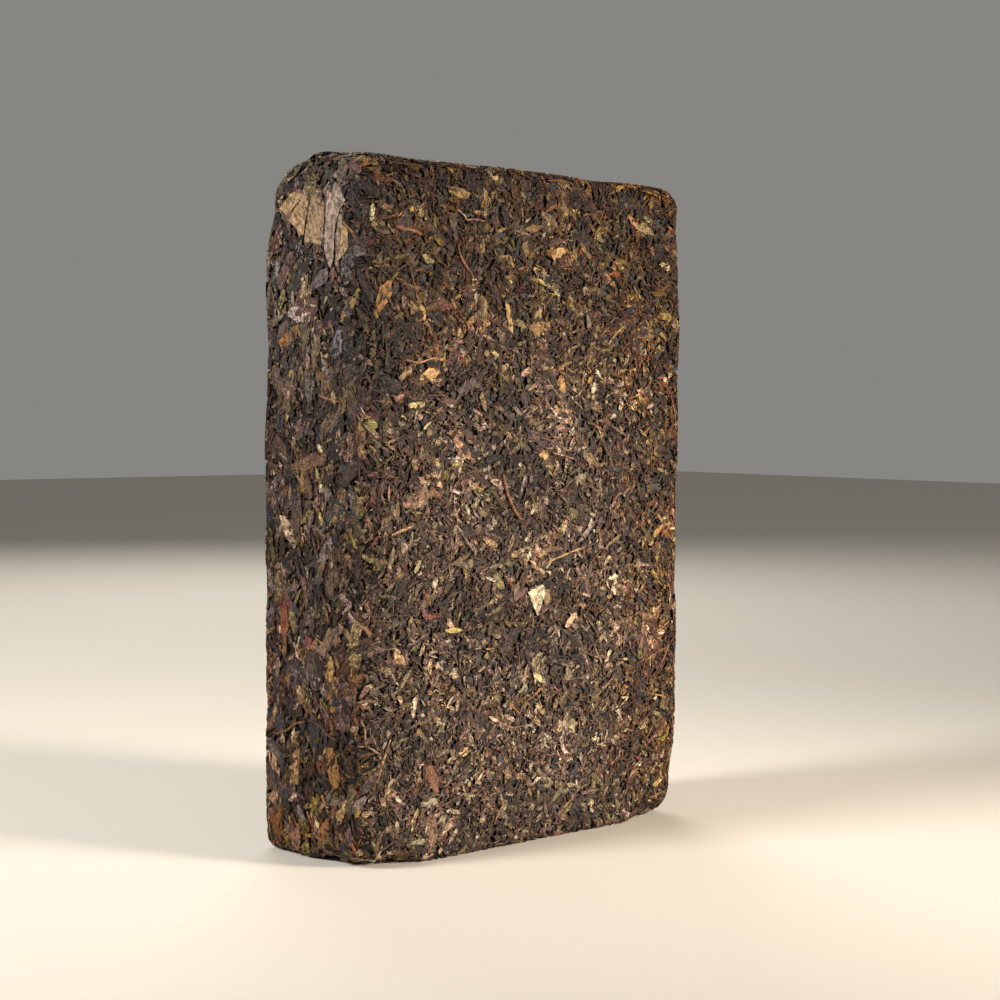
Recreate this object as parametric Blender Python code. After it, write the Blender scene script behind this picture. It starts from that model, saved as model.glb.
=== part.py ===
"""A brick of hand-pressed dark tea, standing on one short end.

Width runs along X, thickness along Y and height along Z. The broad face with the
finer leaf looks along -Y. Lengths are in millimetres until a mesh is made.
"""

import math
import random

import bmesh
import bpy
from mathutils import Vector, noise
from mathutils.bvhtree import BVHTree

MM = 0.001

# Size of the pressed block, to the middle of its surface leaf.
WIDTH = 147.2
THICKNESS = 51.8
HEIGHT = 225.6

# Rounding left by the mould, and the edges that are rounder, sharper or more worn than the rest.
# An edge is named by the side it lies toward on each axis, 0 meaning its whole length.
EDGE_ROUND = 4.0
SOFTER_EDGES = (
    ((-1, -1, 0), 12.0),
    ((1, -1, 0), 5.5),
    ((0, 1, 1), 12.0),
    ((1, 0, 1), 6.0),
    ((1, 0, -1), 10.5),
    ((0, -1, -1), 2.5),
    ((-1, 0, -1), 5.0),
)
SOFTER_FROM = 30.0
SOFTER_FULL = 14.0

# The top swells in the middle of its depth, more toward the left end.
TOP_CROWN = 2.1
TOP_LEAN = 0.35

# Surface grid: extra rows inside the rounding, then even rows across the flats.
EDGE_ROWS = (2.2, 6.0)
ROW_PITCH = 8.6

# Swells and hollows left between pressed leaves: length, height, and where in the noise they are taken.
BROAD_WAVE = (34.0, 0.8, (8.8, -6.0, -0.6))
MIDDLE_WAVE = (15.0, 0.7, (2.7, 5.1, 0.9))
CRAG = 0.5
REST_INSET = 7.0

# Leaf flakes: how far the upper face stands out and the lower face is buried.
LEAF_RISE = 0.8
LEAF_BURIED = 1.1
LEAF_STEPS = (-1.0, -0.4, 0.3, 1.0)
LEAF_TAPER = (0.46, 1.0, 0.94, 0.38)
STEM_BURIED = 1.3

# Flakes that stand out by themselves: face, distance right of the middle, height,
# length, width, turn from level in degrees.
LARGE_LEAVES = (
    ("end", -5.0, 206.0, 21.0, 13.0, 97.0),
    ("end", 12.8, 203.0, 27.0, 10.0, 86.0),
    ("end", 20.2, 178.6, 13.0, 4.8, 118.0),
    ("end", -11.3, 169.6, 11.0, 5.4, 24.0),
    ("end", -10.3, 154.0, 12.5, 9.4, 80.0),
    ("end", 3.9, 162.5, 9.0, 4.6, 74.0),
    ("end", 10.9, 141.6, 10.5, 6.6, 20.0),
    ("end", 0.3, 129.3, 15.5, 5.6, 8.0),
    ("end", 12.5, 32.0, 14.0, 8.0, 104.0),
    ("end", -13.9, 77.5, 16.0, 5.2, 96.0),
    ("end", -7.0, 112.0, 14.0, 7.0, 88.0),
    ("end", 13.0, 94.0, 15.0, 7.0, 80.0),
    ("end", 7.0, 64.0, 13.0, 6.4, 102.0),
    ("front", -43.7, 26.8, 10.8, 6.0, 112.0),
    ("front", -43.6, 11.1, 9.6, 6.2, 86.0),
    ("front", 2.7, 83.3, 11.4, 5.8, 78.0),
    ("front", 18.8, 74.0, 6.4, 4.4, 40.0),
    ("front", 13.4, 155.3, 6.8, 4.6, 12.0),
    ("front", -50.1, 117.8, 12.4, 5.4, 14.0),
    ("front", -53.9, 157.3, 7.6, 4.2, 20.0),
    ("front", -43.4, 158.6, 7.6, 4.0, 168.0),
    ("front", -29.7, 154.1, 10.4, 5.2, 28.0),
    ("front", -39.7, 180.3, 9.6, 3.8, 164.0),
    ("front", 46.0, 206.0, 8.4, 4.2, 36.0),
)

# Stems, placed in the same way, with their thickness as the width.
LARGE_STEMS = (
    ("end", 17.8, 152.1, 21.0, 1.2, 105.0),
    ("end", 21.4, 134.0, 17.0, 1.2, 101.0),
    ("end", -0.5, 159.0, 13.4, 1.0, 118.0),
    ("end", -17.6, 54.5, 15.0, 1.2, 48.0),
    ("end", 7.9, 43.5, 15.5, 1.3, 158.0),
    ("end", -9.5, 42.1, 18.0, 1.3, 24.0),
    ("end", -9.1, 21.5, 15.9, 1.2, 168.0),
    ("front", -47.8, 162.2, 16.9, 1.2, 5.0),
    ("front", -52.3, 186.4, 12.7, 1.0, 106.0),
    ("front", -10.1, 117.2, 17.7, 1.7, 119.0),
    ("front", 14.8, 96.7, 20.0, 1.2, 15.0),
    ("front", -56.7, 108.1, 10.1, 1.3, 16.0),
    ("front", -14.6, 12.0, 8.5, 1.2, 37.0),
    ("front", -63.3, 34.9, 13.9, 1.2, 69.0),
    ("front", 68.0, 146.3, 12.9, 1.2, 103.0),
    ("front", 64.8, 57.8, 9.2, 1.2, 60.0),
    ("front", -28.5, 209.6, 10.8, 1.1, 167.0),
    ("front", -31.4, 195.3, 12.4, 1.3, 99.0),
    ("front", 40.6, 173.0, 10.0, 1.1, 42.0),
)

# The rest are strewn by a seeded rule, larger ones first.
SEED = 60
STREWN_LEAVES = 40
STREWN_STEMS = 18
LEAF_GAP = 13.0
STEM_GAP = 17.0
LOWEST_FLAKE = 9.0


def clamp(value, low, high):
    return max(low, min(high, value))


def smooth_step(value, low, high):
    t = clamp((value - low) / (high - low), 0.0, 1.0)
    return t * t * (3.0 - 2.0 * t)


def half_sizes():
    return (WIDTH / 2.0, THICKNESS / 2.0, HEIGHT / 2.0)


def edge_round_at(point):
    """Rounding radius at a place on the sharp block, in millimetres."""
    radius = EDGE_ROUND
    for sides, wanted in SOFTER_EDGES:
        share = 1.0
        for axis, side in enumerate(sides):
            if side:
                inward = half_sizes()[axis] - side * point[axis]
                share *= 1.0 - smooth_step(inward, SOFTER_FULL, SOFTER_FROM)
        radius += (wanted - EDGE_ROUND) * share
    return radius


def rounded_block(point):
    """Moves a place on the sharp block onto the rounded one. Returns it with its outward direction."""
    radius = edge_round_at(point)
    inner = Vector([clamp(c, radius - h, h - radius) for c, h in zip(point, half_sizes())])
    outward = (point - inner).normalized()
    place = inner + outward * radius
    share = smooth_step(place.z, 0.0, HEIGHT / 2.0)
    wide, deep, _ = half_sizes()
    place.z += TOP_CROWN * share * (1.0 - (place.y / deep) ** 2) * (1.0 - TOP_LEAN * place.x / wide)
    return place, outward


def swell(place):
    """Height of the pressed surface above or below the even block."""
    waves = (BROAD_WAVE, MIDDLE_WAVE)
    return sum(height * noise.noise(place / length + Vector(start)) for length, height, start in waves)


def grid_cuts(half):
    """Where the grid lines lie along one axis."""
    cuts = [half - row for row in EDGE_ROWS]
    span = 2.0 * cuts[-1]
    rows = max(1, round(span / ROW_PITCH))
    middle = [-cuts[-1] + span * i / rows for i in range(1, rows)]
    return [-c for c in cuts] + middle + cuts


def make_core(collection, material):
    """The pressed block with its swells and crags, flat underneath."""
    rng = random.Random(SEED)
    bm = bmesh.new()
    bmesh.ops.create_cube(bm, size=2.0)
    bmesh.ops.scale(bm, vec=half_sizes(), verts=bm.verts)
    for axis, half in enumerate(half_sizes()):
        normal = Vector((0.0, 0.0, 0.0))
        normal[axis] = 1.0
        for cut in grid_cuts(half):
            everything = bm.verts[:] + bm.edges[:] + bm.faces[:]
            bmesh.ops.bisect_plane(bm, geom=everything, plane_co=normal * cut, plane_no=normal)
    for vertex in bm.verts:
        sharp = vertex.co.copy()
        place, outward = rounded_block(sharp)
        place += outward * (swell(place) + rng.uniform(-CRAG, CRAG))
        inside = min(half_sizes()[0] - abs(sharp.x), half_sizes()[1] - abs(sharp.y))
        if sharp.z < 0.01 - HEIGHT / 2.0 and inside > REST_INSET:
            place.z = -HEIGHT / 2.0
        place.z = max(place.z, -HEIGHT / 2.0) + HEIGHT / 2.0
        vertex.co = place * MM
    bmesh.ops.triangulate(bm, faces=bm.faces[:])
    return add_mesh("tea_brick", bm, collection, material)


def add_mesh(name, bm, collection, material):
    bmesh.ops.recalc_face_normals(bm, faces=bm.faces[:])
    mesh = bpy.data.meshes.new(name)
    bm.to_mesh(mesh)
    bm.free()
    mesh.materials.append(material)
    thing = bpy.data.objects.new(name, mesh)
    collection.objects.link(thing)
    return thing


def surface_tree(thing):
    """The surface of a mesh in millimetres, for finding places on it."""
    points = [vertex.co / MM for vertex in thing.data.vertices]
    return BVHTree.FromPolygons(points, [tuple(face.vertices) for face in thing.data.polygons])


def sideways(outward):
    """The directions to the right and upward, seen from outside a surface."""
    across = Vector((0.0, 0.0, 1.0)).cross(outward)
    if across.length < 0.4:
        across = Vector((1.0, 0.0, 0.0))
        across -= outward * across.dot(outward)
    across.normalize()
    return across, outward.cross(across)


def on_face(tree, face, right, up):
    """The place on the core behind a point of the front or of the left end."""
    if face == "front":
        start, inward = Vector((right, -60.0, up)), Vector((0.0, 1.0, 0.0))
    else:
        start, inward = Vector((-110.0, -right, up)), Vector((1.0, 0.0, 0.0))
    place, _, _, _ = tree.ray_cast(start, inward)
    return place, -inward


def strewn_places(core, tree, count, gap, taken, rng):
    """Places spread evenly over the core, clear of those already taken."""
    faces = [face for face in core.data.polygons if face.center.z / MM > LOWEST_FLAKE]
    sizes = [face.area for face in faces]
    places = []
    for _ in range(count * 60):
        if len(places) == count:
            break
        face = rng.choices(faces, sizes)[0]
        corners = [core.data.vertices[i].co / MM for i in face.vertices]
        a, b = rng.random(), rng.random()
        if a + b > 1.0:
            a, b = 1.0 - a, 1.0 - b
        place = corners[0] + (corners[1] - corners[0]) * a + (corners[2] - corners[0]) * b
        if all((place - other).length > gap for other in taken):
            taken.append(place)
            _, outward, _, _ = tree.find_nearest(place)
            places.append((place, outward))
    return places


def make_leaf(tree, centre, outward, length, width, turn, rng, collection, material):
    """A thin wavy flake lying on the core, both of its faces split alike."""
    across, upward = sideways(outward)
    angle = math.radians(turn)
    along = across * math.cos(angle) + upward * math.sin(angle)
    aside = outward.cross(along)
    bend = rng.uniform(-0.12, 0.12) * length
    curl = rng.uniform(-0.3, 0.4)
    bm = bmesh.new()
    upper, lower = [], []
    for step, taper in zip(LEAF_STEPS, LEAF_TAPER):
        half = 0.5 * width * taper * rng.uniform(0.88, 1.08)
        for side in (-1.0, 0.0, 1.0):
            flat = along * (0.5 * length * step) + aside * (half * side + bend * (1.0 - step * step))
            foot, normal, _, _ = tree.find_nearest(centre + flat + outward * 0.8)
            rise = LEAF_RISE * (1.0 - 0.35 * abs(step)) + curl * abs(side) + rng.uniform(-0.2, 0.2)
            foot.z = max(foot.z, 1.0)
            upper.append(bm.verts.new((foot + normal * max(rise, 0.25)) * MM))
            lower.append(bm.verts.new((foot - normal * LEAF_BURIED) * MM))
    for row in range(len(LEAF_STEPS) - 1):
        for column in range(2):
            a = row * 3 + column
            for first, second, third in ((a, a + 3, a + 4), (a, a + 4, a + 1)):
                bm.faces.new((upper[first], upper[second], upper[third]))
                bm.faces.new((lower[third], lower[second], lower[first]))
    rim = [0, 3, 6, 9, 10, 11, 8, 5, 2, 1]
    for first, second in zip(rim, rim[1:] + rim[:1]):
        bm.faces.new((upper[first], lower[first], upper[second]))
        bm.faces.new((lower[first], lower[second], upper[second]))
    return add_mesh("leaf", bm, collection, material)


def make_stem(tree, centre, outward, length, thick, turn, rng, collection, material):
    """A broken stem pressed halfway into the core, with both ends buried."""
    across, upward = sideways(outward)
    angle = math.radians(turn)
    along = across * math.cos(angle) + upward * math.sin(angle)
    aside = outward.cross(along)
    bend = rng.uniform(-0.07, 0.07) * length
    curve = bpy.data.curves.new("stem", "CURVE")
    curve.dimensions = "3D"
    curve.bevel_depth = thick / 2.0 * MM
    curve.bevel_resolution = 0
    curve.use_fill_caps = True
    spline = curve.splines.new("POLY")
    steps = (-1.0, -0.8, 0.0, 0.8, 1.0)
    spline.points.add(len(steps) - 1)
    for point, step in zip(spline.points, steps):
        flat = along * (0.5 * length * step) + aside * bend * (1.0 - step * step)
        foot, normal, _, _ = tree.find_nearest(centre + flat + outward * 0.8)
        foot += normal * (thick * 0.3 if abs(step) < 0.9 else -STEM_BURIED)
        point.co = (*(foot * MM), 1.0)
    stem = bpy.data.objects.new("stem", curve)
    collection.objects.link(stem)
    bpy.context.view_layer.update()
    graph = bpy.context.evaluated_depsgraph_get()
    mesh = bpy.data.meshes.new_from_object(stem.evaluated_get(graph))
    bpy.data.objects.remove(stem)
    bpy.data.curves.remove(curve)
    bm = bmesh.new()
    bm.from_mesh(mesh)
    bpy.data.meshes.remove(mesh)
    bmesh.ops.remove_doubles(bm, verts=bm.verts[:], dist=0.000001)
    bmesh.ops.triangulate(bm, faces=bm.faces[:])
    return add_mesh("stem", bm, collection, material)


def strew_flakes(core, collection, material):
    """Leaves and stems over the core: the placed ones, then the strewn ones, large to small."""
    rng = random.Random(SEED + 1)
    tree = surface_tree(core)
    taken = []
    for face, right, up, length, width, turn in LARGE_LEAVES:
        centre, outward = on_face(tree, face, right, up)
        taken.append(centre)
        make_leaf(tree, centre, outward, length, width, turn, rng, collection, material)
    for face, right, up, length, thick, turn in LARGE_STEMS:
        centre, outward = on_face(tree, face, right, up)
        taken.append(centre)
        make_stem(tree, centre, outward, length, thick, turn, rng, collection, material)
    places = strewn_places(core, tree, STREWN_LEAVES, LEAF_GAP, taken, rng)
    for index, (centre, outward) in enumerate(places):
        length = 15.0 - 7.5 * index / STREWN_LEAVES + rng.uniform(-1.5, 1.5)
        width = length * rng.uniform(0.42, 0.6)
        turn = rng.gauss(90.0, 22.0) if abs(outward.x) > 0.7 else rng.uniform(0.0, 180.0)
        make_leaf(tree, centre, outward, length, width, turn, rng, collection, material)
    places = strewn_places(core, tree, STREWN_STEMS, STEM_GAP, taken, rng)
    for index, (centre, outward) in enumerate(places):
        length = 17.0 - 9.0 * index / STREWN_STEMS + rng.uniform(-1.0, 1.0)
        thick = rng.uniform(1.0, 1.4)
        turn = rng.uniform(0.0, 180.0)
        make_stem(tree, centre, outward, length, thick, turn, rng, collection, material)


def keep_one_body(thing):
    """Drops sealed hollows and loose scraps, leaving the largest closed body."""
    bm = bmesh.new()
    bm.from_mesh(thing.data)
    bm.verts.ensure_lookup_table()
    unseen = set(bm.verts)
    largest = []
    while unseen:
        waiting = [unseen.pop()]
        body = []
        while waiting:
            vertex = waiting.pop()
            body.append(vertex)
            for edge in vertex.link_edges:
                other = edge.other_vert(vertex)
                if other in unseen:
                    unseen.remove(other)
                    waiting.append(other)
        if len(body) > len(largest):
            largest = body
    kept = set(largest)
    bmesh.ops.delete(bm, geom=[v for v in bm.verts if v not in kept], context="VERTS")
    bmesh.ops.triangulate(bm, faces=bm.faces[:])
    bm.to_mesh(thing.data)
    bm.free()


def set_on_origin(thing):
    """Centres the brick over the origin with its foot at height zero."""
    points = [vertex.co for vertex in thing.data.vertices]
    low = Vector([min(p[axis] for p in points) for axis in range(3)])
    high = Vector([max(p[axis] for p in points) for axis in range(3)])
    shift = Vector(((low.x + high.x) / 2.0, (low.y + high.y) / 2.0, low.z))
    for vertex in thing.data.vertices:
        vertex.co = vertex.co - shift


def pressed_leaf_material():
    """Dry fermented tea leaf: dark brown, nearly matt."""
    material = bpy.data.materials.new("pressed_tea_leaf")
    material.use_nodes = True
    shader = material.node_tree.nodes["Principled BSDF"]
    shader.inputs["Base Color"].default_value = (0.075, 0.041, 0.025, 1.0)
    shader.inputs["Roughness"].default_value = 0.72
    return material


def build():
    for thing in list(bpy.data.objects):
        bpy.data.objects.remove(thing)
    brick = bpy.data.collections.new("fu_brick_tea")
    flakes = bpy.data.collections.new("pressed_in_flakes")
    bpy.context.scene.collection.children.link(brick)
    bpy.context.scene.collection.children.link(flakes)
    material = pressed_leaf_material()
    core = make_core(brick, material)
    strew_flakes(core, flakes, material)
    union = core.modifiers.new("flakes", "BOOLEAN")
    union.operation = "UNION"
    union.operand_type = "COLLECTION"
    union.collection = flakes
    union.solver = "EXACT"
    bpy.context.view_layer.objects.active = core
    bpy.ops.object.modifier_apply(modifier=union.name)
    for flake in list(flakes.objects):
        bpy.data.objects.remove(flake)
    bpy.data.collections.remove(flakes)
    keep_one_body(core)
    set_on_origin(core)


build()
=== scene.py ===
"""Looks of a brick of hand-pressed dark tea: the pressed core and the broken leaf over it."""

import math
from functools import partial

import bpy
import numpy as np
from mathutils import Matrix, Vector, noise
from mathutils.bvhtree import BVHTree
from mathutils.geometry import delaunay_2d_cdt


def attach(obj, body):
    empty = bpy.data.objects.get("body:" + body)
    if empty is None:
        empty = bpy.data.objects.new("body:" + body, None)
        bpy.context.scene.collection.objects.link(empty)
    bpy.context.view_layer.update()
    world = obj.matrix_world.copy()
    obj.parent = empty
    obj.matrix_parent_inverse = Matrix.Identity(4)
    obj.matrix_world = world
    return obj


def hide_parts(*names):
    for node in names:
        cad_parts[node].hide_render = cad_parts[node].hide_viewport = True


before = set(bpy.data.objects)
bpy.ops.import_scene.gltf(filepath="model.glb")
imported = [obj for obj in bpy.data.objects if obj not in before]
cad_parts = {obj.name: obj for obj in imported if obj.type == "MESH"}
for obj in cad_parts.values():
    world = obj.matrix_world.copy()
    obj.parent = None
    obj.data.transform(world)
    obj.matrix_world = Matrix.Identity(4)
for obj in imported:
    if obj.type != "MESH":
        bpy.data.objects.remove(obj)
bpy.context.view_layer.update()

MM = 0.001
SEED = 52

# The pressed block, in millimetres, as the solid has it.
HALF = np.array((73.6, 25.9, 112.8))
BLOCK_MIDDLE = np.array((-0.05, 0.21, 112.8))
EDGE_ROUND = 4.0
# Edges worn to another radius, each by the two sides it joins, and how far along them that reaches.
SOFTER_EDGES = (
    ((-1, -1, 0), 12.0), ((1, -1, 0), 5.5), ((0, 1, 1), 12.0), ((1, 0, 1), 6.0),
    ((1, 0, -1), 10.5), ((0, -1, -1), 2.5), ((-1, 0, -1), 5.0),
)
SOFTER_FROM = 30.0
SOFTER_FULL = 14.0
TOP_CROWN = 2.1
TOP_LEAN = 0.35
# Broad and middle waves of the pressed surface: length, height and where their pattern starts.
WAVES = ((34.0, 0.8, (8.8, -6.0, -0.6)), (15.0, 0.7, (2.7, 5.1, 0.9)))

# Grid over the core, and the crumbled plates its own leaf makes between the loose ones.
CORE_PITCH = 2.1
SKIN_PITCH = 2.5
PLATE_SIZE = 2.9
PLATE_RISE = 0.42
CRACK_DEPTH = 0.55
CORE_SUNK = 0.35
FOOT = 0.4

# Pieces strewn over the whole brick.
TORN_COUNT = 1500
ROLLED_COUNT = 8200
STEM_COUNT = 650
# A place that faces this far along x is on one of the two narrow ends.
END_FACING = 0.7
# How far fine leaf and whole blades may stand out, because the mould presses the rest flush.
FINE_PROUD = 0.6
BLADE_PROUD = 0.8
# Share of the fine leaf left out under a larger leaf. None of it lies on the leaves noticed first.
LEFT_OUT = 0.66

# Outlines of the torn leaves that everyone notices first, right and up from their middle. Each row below
# has its face, distance right of the middle, height, the turn of its veins, outline, lift and colour.
WIDE_LEAF_LEFT = (
    (-12.4, 3.9), (-8.6, 6.8), (-5, 9.3), (-1, 8.8), (3.4, 6.9), (2.6, 3), (1.6, -2), (1, -5),
    (-1.2, -4.6), (-4.4, -1.5), (-8.5, 0.8),
)
WIDE_LEAF_RIGHT = (
    (4.3, 6.3), (7.2, 6.6), (12, 4.2), (12.2, -2.6), (11.4, -6.1), (10.6, -8.8), (7.1, -8), (1.8, -7.4),
    (2.3, -3), (3.2, 1.6), (3.7, 4.4),
)
FIBROUS_LEAF_LEFT = (
    (-3.6, 12.4), (-1.2, 11), (0.6, 14.6), (3.2, 12.2), (5.4, 8.6), (3.6, 6), (1.7, 1.8), (0.6, -3.4),
    (0, -9.4), (-1.2, -12.6), (-3.2, -9.8), (-4.8, -5.8), (-3.9, 1.4), (-3.9, 8),
)
FIBROUS_LEAF_RIGHT = ((3.3, 4.4), (4.6, 3.2), (3.4, -2), (2.6, -8), (2.9, -13.9), (0.9, -11), (1.3, -3.6))
PALE_SLIVER = ((-0.4, 5.9), (1.9, 5.2), (2.1, -1.6), (-0.4, -4.2), (-3.3, -6.2), (-1.7, -1.8))
KITE_LEAF = ((-4.9, 2.7), (-1, 4.4), (2.7, 5.2), (3.2, 1.8), (1.4, -2), (-0.5, -5.6), (-2.4, -2.2))
KITE_FOLD = ((-1.4, 3), (1.5, 3.6), (2, -0.4), (-0.4, -2.8), (-1.6, -1))
NOTICED_LEAVES = (
    ("end", -4, 207, -50, WIDE_LEAF_LEFT, 0.55, "#9c7f5c"),
    ("end", -4, 207, -58, WIDE_LEAF_RIGHT, 0.6, "#94785a"),
    ("end", 13, 203, 86, FIBROUS_LEAF_LEFT, 0.8, "#998677"),
    ("end", 13, 203, 80, FIBROUS_LEAF_RIGHT, 0.75, "#93806c"),
    ("end", 17, 198.2, 80, PALE_SLIVER, 0.7, "#a98c66"),
    ("front", 3.1, 82.4, 66, KITE_LEAF, 0.7, "#b9ae90"),
    ("front", 7.2, 82.4, 84, KITE_FOLD, 0.6, "#86684a"),
)

# Large leaves of each face: right of the middle, height, length, width, turn from level and colour.
LARGE_LEAVES = {
    "end": (
        (-13, 191.5, 12, 7, 62, "#5d4843"), (-4.5, 188.5, 11, 7.6, 40, "#2b2927"),
        (-1, 178, 13, 10, 20, "#563c34"), (19.6, 179, 12.5, 4.2, 54, "#8f713c"),
        (-11.3, 169.6, 11, 5.4, 24, "#9a6a34"), (3.9, 164.5, 9, 4.6, 74, "#6b5a40"),
        (-10.3, 154, 12.5, 9.4, 80, "#57443f"), (-17.7, 155, 9, 5, 106, "#5a4636"),
        (10.9, 141.6, 10.5, 6.6, 20, "#5f5145"), (0.3, 129.3, 15.5, 5.6, 8, "#6a4b38"),
        (-7, 112, 14, 7, 88, "#4c3a31"), (13, 94, 15, 7, 80, "#59463a"),
        (-13.9, 77.5, 16, 5.2, 96, "#7a4225"), (10.2, 72, 10.7, 4.6, 56, "#7c6342"),
        (3, 62, 13, 6.4, 102, "#453a33"), (12.5, 32, 14, 8, 104, "#8a5f2e"),
        (7.5, 11.1, 10, 4.6, 50, "#8a5429"), (20.8, 209.2, 9, 4.2, 119, "#262120"),
        (5.5, 187, 10, 6.4, 30, "#5f5557"), (14.5, 167, 8.5, 6, 70, "#6c676d"),
    ),
    "front": (
        (-69, 216, 9, 5, 150, "#221d1c"), (-66.8, 223.4, 9, 3.2, 20, "#84502c"),
        (-64.3, 181.2, 12.5, 5.2, 66, "#8b632f"), (-69.6, 185.1, 10.8, 3.4, 120, "#2c2826"),
        (-41.2, 180, 10, 4.4, 172, "#6d3524"), (-48.7, 176.9, 6, 2.8, 112, "#bb9350"),
        (-50.4, 205, 5, 2.6, 60, "#6e5a36"), (-33.2, 216.3, 9.6, 4, 174, "#7f6638"),
        (-22.2, 216, 6.2, 2.8, 103, "#7d6b50"), (-17.1, 222, 5, 2.4, 173, "#a98f60"),
        (-26.8, 225.2, 6, 2, 177, "#99542e"), (6.6, 210.7, 7.8, 3.6, 153, "#6b5340"),
        (-0.5, 207.2, 8, 2.8, 10, "#6e5026"), (41.4, 224, 6.4, 2.2, 26, "#9a7632"),
        (53, 210.6, 8.6, 5, 170, "#8e7a52"), (47.8, 212.9, 7, 3.2, 144, "#a56a40"),
        (64.4, 197.9, 5.4, 3, 161, "#c8b07c"), (11.1, 199.6, 6.6, 4.2, 20, "#ab8450"),
        (3, 189.4, 4.6, 1.7, 155, "#c0aa74"), (35.7, 191.3, 7, 2.2, 140, "#b97c45"),
        (-11.5, 177, 9.6, 2.3, 105, "#a88852"), (2.4, 174.2, 10, 4.8, 9, "#8a6738"),
        (13.4, 155.3, 6.8, 4.6, 100, "#ab8350"), (-56, 157.9, 5.6, 3.8, 41, "#8c6a4d"),
        (-46, 157.4, 8.6, 4, 17, "#c09664"), (-29.7, 154.1, 10.4, 5.4, 28, "#4b4141"),
        (-51, 147.6, 6.4, 3, 3, "#baa673"), (-68.1, 141.4, 4.6, 3.6, 0, "#8a8050"),
        (-30.8, 133.4, 13, 4.6, 140, "#a07a58"), (4.7, 131.3, 4.4, 3.4, 0, "#bb9160"),
        (27.2, 129.3, 10, 4, 144, "#816648"), (-50.1, 117.8, 12.4, 5.4, 14, "#82604a"),
        (18.8, 74, 6.4, 4.4, 40, "#d0a886"), (-34.7, 74.5, 7, 2.2, 178, "#b8a263"),
        (-56.8, 67.4, 6.6, 4.4, 134, "#b8956c"), (3.4, 55.4, 5, 2.6, 143, "#dcc08e"),
        (-30, 34.1, 4.4, 3.6, 20, "#d3aa76"), (-43.7, 26.8, 10.8, 6, 112, "#714a31"),
        (-45.1, 19.5, 7.4, 3.2, 2, "#857a66"), (-51.3, 14.4, 8, 2, 70, "#a9925f"),
        (-43.6, 9.6, 9, 5.6, 86, "#765845"),
    ),
}

# Colours of the leaves strewn over the ends and over the broad faces.
END_LEAF_COLOURS = (
    "#221b19 #29282c #3f3529 #6e5c54 #82684f #7c6e4a #423b3d #a88e68 #72503c #766b66"
).split()
FACE_LEAF_COLOURS = (
    "#2a1f19 #33302f #57422f #6b4f37 #7c6a42 #8f7a56 #4a3c38 #6e4530 #a68c68 #8a8058 #aa946f"
).split()

# Large stems, placed in the same way, with their thickness as the width.
LARGE_STEMS = {
    "end": (
        (16.6, 160, 17, 0.75, 100, "#4a2a20"), (19.9, 143, 18, 0.8, 103, "#502c20"),
        (21.6, 128, 15, 0.75, 99, "#47221d"), (-18.2, 200.6, 12.5, 0.75, 63, "#9a6450"),
        (19.4, 202, 7.4, 0.8, 131, "#96703c"), (-0.5, 159, 13.4, 0.7, 118, "#5a4338"),
        (10.8, 149.6, 10.5, 0.7, 168, "#946549"), (-17.6, 54.5, 13, 0.8, 48, "#7a4531"),
        (-9.5, 42.1, 16, 0.9, 24, "#8d6436"), (7.9, 43.5, 15.5, 0.9, 158, "#5c3836"),
        (6.8, 50.6, 12, 0.7, 142, "#5f3b3c"), (-9.1, 21.5, 15, 0.9, 168, "#5d393b"),
        (20.4, 6.2, 7, 0.9, 102, "#7c4c30"),
    ),
    "front": (
        (-69.2, 165.5, 8, 0.7, 90, "#2c211e"), (-69.9, 154.9, 13, 0.7, 82, "#3a231d"),
        (-54.6, 202.9, 10.8, 1.5, 171, "#93603c"), (-52.3, 186.4, 12.7, 0.75, 106, "#74452a"),
        (-46.4, 172.4, 5.6, 0.9, 117, "#936547"), (-31.7, 209.4, 5.2, 0.7, 143, "#b7967a"),
        (-26.1, 208, 7.4, 0.75, 1, "#b0876c"), (-31.4, 195.3, 11, 1.3, 120, "#7a4a2e"),
        (-47.8, 162.2, 16.9, 0.85, 5, "#a98058"), (5, 136.8, 16, 0.7, 176, "#6b4a4c"),
        (6, 134.6, 12, 0.65, 6, "#5d4145"), (-56.7, 108.1, 10.1, 1, 16, "#bd976b"),
        (-10.1, 117.2, 17.7, 1.4, 119, "#744829"), (14.8, 96.7, 19, 0.8, 15, "#b48c5e"),
        (39.1, 172.8, 10.8, 0.75, 40, "#b9906a"), (68, 146.3, 12, 0.7, 103, "#8a5a3a"),
        (2.3, 51.1, 10, 0.8, 33, "#9a6440"), (33.9, 49.8, 11, 0.75, 37, "#9e7346"),
        (64.8, 57.8, 9.2, 0.7, 60, "#8f6040"), (-63.3, 34.9, 13.9, 0.9, 69, "#a98052"),
        (18.3, 11.6, 6.3, 0.8, 34, "#ab7c48"), (40.7, 23.6, 6.4, 0.8, 28, "#a3703f"),
        (-14.6, 12, 8.5, 0.8, 57, "#94603c"),
    ),
}


def smooth_step(value, low, high):
    t = np.clip((value - low) / (high - low), 0.0, 1.0)
    return t * t * (3.0 - 2.0 * t)


def noise_at(points, offset=(0, 0, 0)):
    shift = Vector(offset)
    return np.array([noise.noise(Vector(point) + shift) for point in points])


def rounding(points):
    """Rounding radius of the block near each point, which is measured from the block's middle."""
    radius = np.full(len(points), EDGE_ROUND)
    for sides, wanted in SOFTER_EDGES:
        share = np.ones(len(points))
        for axis, side in enumerate(sides):
            if side:
                inward = HALF[axis] - side * points[:, axis]
                share *= 1.0 - smooth_step(inward, SOFTER_FULL, SOFTER_FROM)
        radius += (wanted - EDGE_ROUND) * share
    return radius[:, None]


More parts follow.
